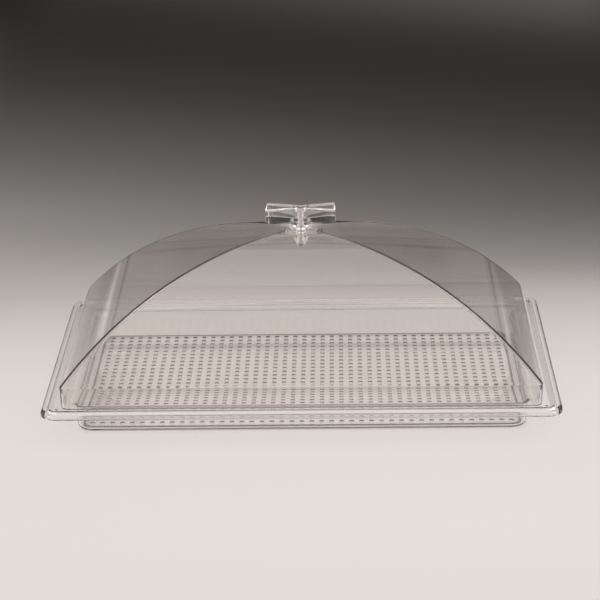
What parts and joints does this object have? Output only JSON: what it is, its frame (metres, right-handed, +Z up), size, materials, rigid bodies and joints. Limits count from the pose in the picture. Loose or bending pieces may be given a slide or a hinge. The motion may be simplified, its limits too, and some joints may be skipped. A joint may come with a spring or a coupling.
{
  "type": "covered display tray",
  "caption": "Clear plastic display tray with a perforated drip grid and a lift-off vaulted cover with a bow-tie knob, for showing and serving food on a counter.",
  "frame": {"origin": "middle of the tray's underside, on the surface that it stands on", "axes": "+X along the tray's long side, +Y towards its back, +Z up"},
  "size_m": [0.53, 0.325, 0.1993],
  "materials": {
    "clear_tray": "clear moulded plastic",
    "clear_grid": "clear moulded plastic",
    "clear_cover": "clear moulded plastic",
    "clear_knob": "clear moulded plastic",
    "polished_steel": "polished",
    "soft_seal": "clear silicone"
  },
  "bodies": {
    "tray": {"tray": "clear_tray"},
    "grid": {"drip_grid": "clear_grid"},
    "cover": {"dome_cover": "clear_cover", "knob": "clear_knob", "knob_screw": "polished_steel", "screw_washer": "polished_steel", "knob_seal": "soft_seal", "nut_washer": "polished_steel", "cap_nut": "clear_knob"}
  },
  "joints": [
    {"name": "cover_lift", "type": "slide", "parent": "tray", "child": "cover", "axis": [0, 0, 1], "range_m": [0, 0.2]},
    {"name": "grid_lift", "type": "slide", "parent": "tray", "child": "grid", "axis": [0, 0, 1], "range_m": [0, 0.045]}
  ]
}
